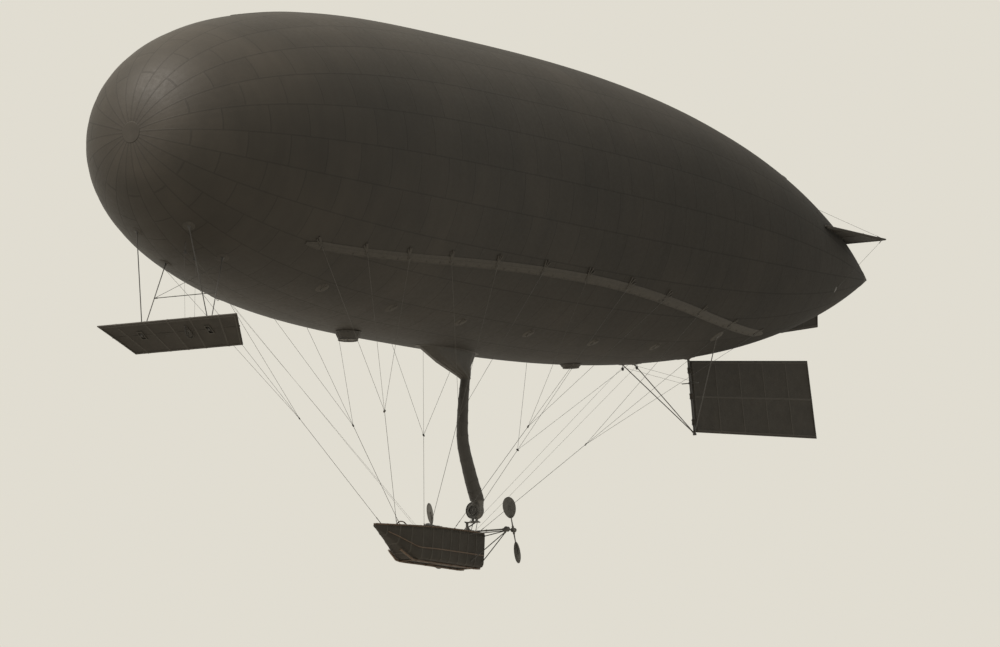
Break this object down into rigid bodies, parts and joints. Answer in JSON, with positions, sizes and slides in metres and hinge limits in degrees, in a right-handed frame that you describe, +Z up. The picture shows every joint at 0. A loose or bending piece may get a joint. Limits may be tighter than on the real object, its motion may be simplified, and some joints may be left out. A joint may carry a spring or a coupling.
{
  "type": "small non-rigid airship",
  "caption": "Small non-rigid airship: fabric envelope with tail planes, rudder, bow elevator and a slung boat-shaped car with side propellers.",
  "frame": {"origin": "middle of the envelope's long axis, where the air holds the airship up", "axes": "+X forward to the nose, +Y to port, +Z up"},
  "size_m": [35.4, 8.5, 14.5385],
  "materials": {
    "envelope_fabric": "rubberised cotton, slightly glossy, dusty brown-grey",
    "dark_canvas": "doped canvas, matt",
    "webbing": "woven belt, stitched",
    "varnished_wood": "varnished ash",
    "black_tube": "black enamel on steel tube",
    "steel_wire": "oiled steel cable",
    "engine_iron": "oily grey iron",
    "dull_aluminium": "dull sheet and castings",
    "brass": "tarnished sheet",
    "canvas_air": "rubberised fabric ducting"
  },
  "bodies": {
    "airship": {"envelope": "envelope_fabric", "rigging_band_port": "webbing", "rigging_band_starboard": "webbing", "gas_valve": "dull_aluminium", "belly_valve_fore": "canvas_air", "belly_valve_aft": "canvas_air", "air_trunk": "canvas_air", "air_hose": "canvas_air", "stabilizer_port": "dark_canvas", "stabilizer_starboard": "dark_canvas", "tail_fin": "dark_canvas", "rudder_hanger": "black_tube", "elevator_hanger": "black_tube", "car_shell": "dark_canvas", "car_rim": "varnished_wood", "car_floor": "varnished_wood", "car_skids": "varnished_wood", "seat_rear": "varnished_wood", "seat_front": "varnished_wood", "helm": "varnished_wood", "elevator_wheel": "varnished_wood", "instrument_board": "varnished_wood", "engine": "engine_iron", "engine_bearers": "varnished_wood", "flywheel": "engine_iron", "radiator": "brass", "fuel_tank": "brass", "exhaust": "black_tube", "transmission": "dull_aluminium", "outrigger_port": "black_tube", "outrigger_starboard": "black_tube", "blower": "dull_aluminium", "stay_port_1": "steel_wire", "stay_port_2": "steel_wire", "stay_port_3": "steel_wire", "stay_port_4": "steel_wire", "stay_starboard_1": "steel_wire", "stay_starboard_2": "steel_wire", "stay_starboard_3": "steel_wire", "stay_starboard_4": "steel_wire"},
    "rudder": {"rudder": "dark_canvas"},
    "elevator": {"elevator": "dark_canvas"},
    "propeller_port": {"propeller_port": "dull_aluminium"},
    "propeller_starboard": {"propeller_starboard": "dull_aluminium"}
  },
  "joints": [
    {"name": "rudder_hinge", "type": "hinge", "parent": "airship", "child": "rudder", "pos_m": [-8.4, 0, -3.31], "axis": [0.1476, 0, 0.989], "range_deg": [-35, 35]},
    {"name": "elevator_hinge", "type": "hinge", "parent": "airship", "child": "elevator", "pos_m": [15.7, 0, -5.04], "axis": [0, 1, 0], "range_deg": [-2, 68]},
    {"name": "propeller_port_spin", "type": "hinge", "parent": "airship", "child": "propeller_port", "pos_m": [2.14, 1.32, -9.14], "axis": [1, 0, 0], "continuous": true},
    {"name": "propeller_starboard_spin", "type": "hinge", "parent": "airship", "child": "propeller_starboard", "pos_m": [2.14, -1.32, -9.14], "axis": [1, 0, 0], "continuous": true}
  ],
  "couplings": [
    {"joint": "propeller_starboard_spin", "follows": "propeller_port_spin", "ratio": -1}
  ]
}
